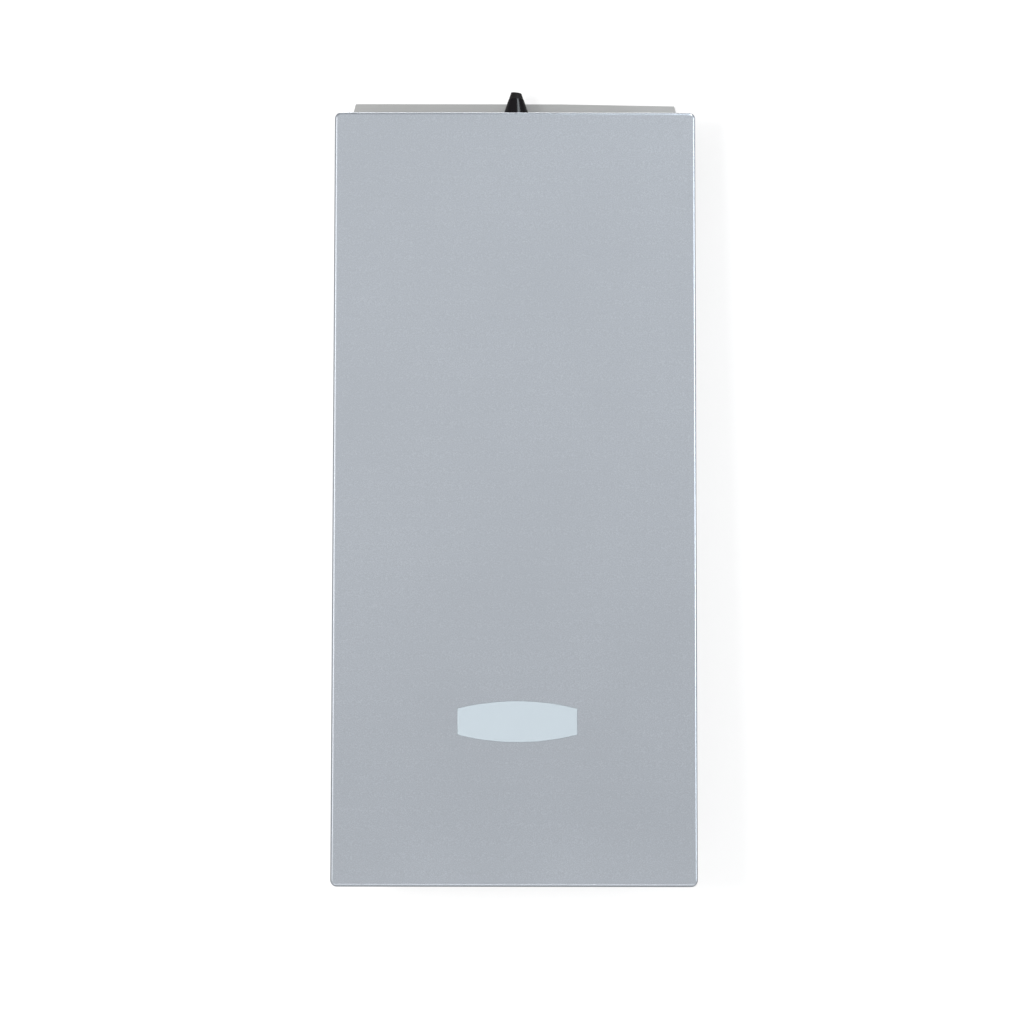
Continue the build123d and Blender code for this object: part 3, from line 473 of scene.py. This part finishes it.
def at_depth(parts, depth):
    """The edges or faces that lie flat at one depth behind the cover's face."""
    return [part for part in parts if all(abs(v.co.y - depth) < NEAR for v in part.verts)]


def stand_up(bm):
    """Turns a flat outline from the XY plane to the XZ plane."""
    bmesh.ops.rotate(bm, verts=bm.verts, cent=(0, 0, 0), matrix=Matrix.Rotation(math.pi / 2, 3, "X"))


def round_off(bm, geom, radius, segments, affect="EDGES"):
    """Gives edges or corners a round of that radius."""
    bmesh.ops.bevel(
        bm, geom=geom, offset=radius, segments=segments, profile=0.5, affect=affect, material=-1
    )


def window_sheet(grow):
    """The window's bowed outline as one face in X and Z, grown all round by an amount."""
    half_w = WINDOW_W / 2 + grow
    half_h = WINDOW_H / 2 + grow
    rise = (WINDOW_H - WINDOW_SIDE_H) / 2
    radius = ((WINDOW_W / 2) ** 2 + rise**2) / (2 * rise) + grow
    right_end = ((half_w, 0, 0), (1, 0, 0))
    left_end = ((-half_w, 0, 0), (-1, 0, 0))
    lower_half = ((0, 0, 0), (0, 0, -1))
    bm = bmesh.new()
    bmesh.ops.create_circle(bm, cap_ends=True, segments=WINDOW_ARC_STEPS, radius=radius)
    stand_up(bm)
    bmesh.ops.translate(bm, verts=bm.verts, vec=(0, 0, half_h - radius))
    for origin, outwards in (right_end, left_end, lower_half):
        bmesh.ops.bisect_plane(
            bm, geom=everything(bm), plane_co=origin, plane_no=outwards, clear_outer=True
        )
    bmesh.ops.mirror(bm, geom=everything(bm), matrix=Matrix.Identity(4), merge_dist=NEAR, axis="Z")
    bmesh.ops.remove_doubles(bm, verts=bm.verts, dist=NEAR)
    bmesh.ops.dissolve_faces(bm, faces=bm.faces)
    bmesh.ops.translate(bm, verts=bm.verts, vec=WINDOW_AT)
    return bm


def thicken(bm, depth0, depth1):
    """Extrudes a flat outline at depth 0 into a slab between two depths."""
    bmesh.ops.translate(bm, verts=bm.verts, vec=(0, depth0, 0))
    result = bmesh.ops.extrude_face_region(bm, geom=list(bm.faces))
    far = [part for part in result["geom"] if isinstance(part, bmesh.types.BMVert)]
    bmesh.ops.translate(bm, verts=far, vec=(0, depth1 - depth0, 0))
    bmesh.ops.recalc_face_normals(bm, faces=bm.faces)


def cover_shell():
    """Drawn sheet cover with rolled edges, cut out for the window."""
    bm = bmesh.new()
    bmesh.ops.create_grid(bm, x_segments=1, y_segments=1, size=0.5)
    stand_up(bm)
    bmesh.ops.scale(bm, verts=bm.verts, vec=(COVER_W, 1, FACE_LENGTH))
    round_off(bm, list(bm.verts), CORNER_R, 14, "VERTICES")
    thicken(bm, 0, SKIRT)
    open_back = at_depth(bm.faces, SKIRT)
    round_off(bm, at_depth(bm.edges, 0), EDGE_R, 8)
    bmesh.ops.delete(bm, geom=open_back, context="FACES")
    shell = piece("cover_shell", bm, "cover_paint", "front_cover", "cover", FACE)
    wall = shell.modifiers.new("sheet", "SOLIDIFY")
    wall.thickness = SHEET
    wall.offset = -1
    wall.use_even_offset = True
    slug = window_sheet(WINDOW_GAP)
    thicken(slug, -CUTTER_REACH, CUTTER_REACH)
    slug.transform(FACE)
    cutter = put_in_scene("window_cutter", mesh_from("window_cutter", slug))
    hole = shell.modifiers.new("window_hole", "BOOLEAN")
    hole.object = cutter
    hole.operation = "DIFFERENCE"
    hole.solver = "EXACT"
    apply_modifiers(shell)
    bpy.data.objects.remove(cutter)
    weigh_normals(shell)


def window_lens():
    """Lens that fills the cut-out, with a softened rim, on a wider flange behind the sheet."""
    bm = window_sheet(0)
    thicken(bm, -WINDOW_PROUD, SHEET)
    round_off(bm, at_depth(bm.edges, -WINDOW_PROUD), WINDOW_RIM_R, 4)
    flange = window_sheet(FLANGE_GROW)
    thicken(flange, SHEET, SHEET + FLANGE_THICK)
    bm.from_mesh(mesh_from("window_flange", flange))
    weigh_normals(piece("window_lens", bm, "window_diffuser", "status_window", "cover", FACE))


def boot():
    """Flared cable boot: turned profile, slanting cut at the tip, open bore."""
    bm = bmesh.new()
    outline = [bm.verts.new((radius * MM, 0, height * MM)) for radius, height in BOOT_PROFILE]
    for start, end in zip(outline, outline[1:] + outline[:1]):
        bm.edges.new((start, end))
    bmesh.ops.spin(
        bm,
        geom=list(bm.verts) + list(bm.edges),
        cent=(0, 0, 0),
        axis=(0, 0, 1),
        angle=math.tau,
        steps=BOOT_STEPS,
        use_merge=True,
    )
    slant = Vector((math.sin(BOOT_CUT), 0, math.cos(BOOT_CUT)))
    cut = bmesh.ops.bisect_plane(
        bm, geom=everything(bm), plane_co=BOOT_CUT_AT, plane_no=slant, clear_outer=True
    )
    rims = [part for part in cut["geom_cut"] if isinstance(part, bmesh.types.BMEdge)]
    bmesh.ops.bridge_loops(bm, edges=rims)
    bmesh.ops.recalc_face_normals(bm, faces=bm.faces)
    on_cut = [e for e in bm.edges if all(abs((v.co - BOOT_CUT_AT).dot(slant)) < NEAR for v in e.verts)]
    rims = [e for e in on_cut if len(e.link_faces) == 2 and e.calc_face_angle(0) > BOOT_RIM_ANGLE]
    round_off(bm, rims, BOOT_RIM_R, 3)
    place = Matrix.Translation(BOOT_AT)
    weigh_normals(piece("cable_boot_skin", bm, "boot_rubber", "cable_boot", "chassis", place))


cover_shell()
window_lens()
boot()


# Stage -----------------------------------------------------------------------------------------

WALL_Y = 0.5 * MM
WALL_SIDE = 4
WALL_TOP = 3
WALL_GLOW = 0.75
FLOOR_Z = -1.70
FLOOR_SIDE = 6
FLOOR_FRONT = -7
FLOOR_BACK = 5


def stage_plane(name, corners, material):
    """A single face that belongs to the stage and not to the unit."""
    bm = bmesh.new()
    bm.faces.new([bm.verts.new(corner) for corner in corners])
    obj = put_in_scene(name, mesh_from(name, bm))
    obj.data.materials.append(material)
    return obj


def wall_paint():
    """White plaster that is clear from behind, so that the unit's back can be seen."""
    paint = Finish("white_wall", Specular_IOR_Level=0.0, Roughness=0.9, Emission_Strength=WALL_GLOW)
    paint.shader.inputs["Emission Color"].default_value = rgb(1, 1, 1)
    grain = paint.noise(60.0, 3.0)
    paint.feed(Base_Color=paint.mix(grain, rgb(0.31, 0.31, 0.31), rgb(0.33, 0.33, 0.33)))
    clear = paint.node("ShaderNodeBsdfTransparent", {}, {})
    behind = paint.node("ShaderNodeNewGeometry", {}, {}, "Backfacing")
    surface = Value(paint, paint.shader.outputs[0])
    mixed = paint.node("ShaderNodeMixShader", {}, {0: behind, 1: surface, 2: clear})
    paint.link(mixed, paint.tree.nodes["Material Output"].inputs["Surface"])
    return paint.material


def floor_paint():
    """Pale matt floor with a little unevenness."""
    paint = Finish("pale_floor", Specular_IOR_Level=0.2, Roughness=0.8)
    grain = paint.noise(40.0, 3.0)
    paint.feed(Base_Color=paint.mix(grain, rgb(0.80, 0.80, 0.80), rgb(0.84, 0.84, 0.84)))
    return paint.material


wall_corners = [
    (-WALL_SIDE, WALL_Y, FLOOR_Z),
    (WALL_SIDE, WALL_Y, FLOOR_Z),
    (WALL_SIDE, WALL_Y, WALL_TOP),
    (-WALL_SIDE, WALL_Y, WALL_TOP),
]
wall = stage_plane("wall", wall_corners, wall_paint())
for ray in ("visible_diffuse", "visible_glossy", "visible_transmission", "visible_shadow"):
    setattr(wall, ray, False)
floor_corners = [
    (-FLOOR_SIDE, FLOOR_FRONT, FLOOR_Z),
    (FLOOR_SIDE, FLOOR_FRONT, FLOOR_Z),
    (FLOOR_SIDE, FLOOR_BACK, FLOOR_Z),
    (-FLOOR_SIDE, FLOOR_BACK, FLOOR_Z),
]
floor = stage_plane("floor", floor_corners, floor_paint())
floor.visible_glossy = False


# Lights ----------------------------------------------------------------------------------------


MIDDLE = (0, -0.09, -0.40)
COVER_TOP_EDGE = (0, -TOP_OUT, COVER_TOP)
COVER_FOOT = (0, -BOTTOM_OUT, COVER_TOP - COVER_H)
WHITE = (1.0, 1.0, 1.0)
WARM = (1.0, 0.985, 0.96)
COOL = (0.90, 0.96, 1.0)
COOLER = (0.86, 0.94, 1.0)


def area_light(name, position, aim, width, height, power, colour=WHITE):
    """A soft light, out of the camera's sight, that faces what it is aimed at."""
    data = bpy.data.lights.new(name, "AREA")
    data.shape = "RECTANGLE"
    data.size = width
    data.size_y = height
    data.energy = power
    data.color = colour
    obj = put_in_scene(name, data)
    obj.location = position
    obj.rotation_euler = (Vector(aim) - Vector(position)).to_track_quat("-Z", "Y").to_euler()
    obj.visible_camera = False
    return obj


def lights():
    """Broad light from the front and back, a soft strip on each side, and lines along the edges."""
    key = area_light("key", (-1.75, -2.9, -0.15), MIDDLE, 0.8, 0.8, 50)
    area_light("left_strip", (-1.95, -1.55, -0.1), MIDDLE, 1.3, 2.1, 13, WARM)
    area_light("right_strip", (2.3, -1.05, -0.1), MIDDLE, 1.1, 2.1, 22, COOL)
    glint = area_light("boot_glint", (1.04, -1.74, 2.21), COVER_TOP_EDGE, 0.9, 0.9, 24, COOLER)
    top_line = area_light("top_line", (0, 0.80, 1.30), COVER_TOP_EDGE, 2.0, 0.3, 13)
    foot_line = area_light("foot_line", (0, -0.90, -1.20), COVER_FOOT, 1.2, 0.06, 0.85)
    back = area_light("back_fill", (0.9, 2.4, 0.5), MIDDLE, 1.6, 1.6, 30)
    for broad_light in (key, back):
        broad_light.visible_glossy = False
    for edge_light in (glint, top_line, foot_line):
        edge_light.visible_diffuse = False


SKY_STRENGTH = 0.805
SKY_BY_HEIGHT = (
    (0.0, 0.55),
    (0.08, 1.0),
    (0.29, 1.0),
    (0.38, 0.42),
    (0.46, 0.60),
    (0.52, 0.90),
    (0.60, 0.95),
    (0.74, 0.9),
    (0.82, 0.5),
    (1.0, 0.5),
)
SKY_BY_DEPTH = ((0.25, 1.0), (0.5, 0.60), (0.8, 0.42), (1.0, 0.45))


def white_surroundings():
    """White light all round: full from the front, dimmer from behind and in bands up the height."""
    world = bpy.data.worlds.new("surroundings")
    bpy.context.scene.world = world
    world.use_nodes = True
    sky = Nodes(world.node_tree)
    facing = sky.node("ShaderNodeTexCoord", {}, {}, "Generated")
    up = sky.node("ShaderNodeSeparateXYZ", {}, {"Vector": facing}, "Z")
    backwards = sky.node("ShaderNodeSeparateXYZ", {}, {"Vector": facing}, "Y")
    by_height = sky.ramp(up * 0.5 + 0.5, *SKY_BY_HEIGHT)
    by_depth = sky.ramp(backwards * 0.5 + 0.5, *SKY_BY_DEPTH)
    background = world.node_tree.nodes["Background"]
    sky.link(by_height * by_depth, background.inputs["Color"])
    background.inputs["Strength"].default_value = SKY_STRENGTH


lights()
white_surroundings()


# Camera ----------------------------------------------------------------------------------------

EYE = (-3.1 * MM, -2.8, COVER_TOP - 499.3 * MM)
LEVEL = math.pi / 2
ROLL = math.radians(-0.08)

camera_data = bpy.data.cameras.new("camera")
camera_data.sensor_width = 36
camera_data.lens = 76.9
camera = put_in_scene("camera", camera_data)
camera.location = EYE
camera.rotation_euler = (LEVEL, ROLL, 0)
bpy.context.scene.camera = camera
bpy.context.scene.view_settings.view_transform = "Standard"
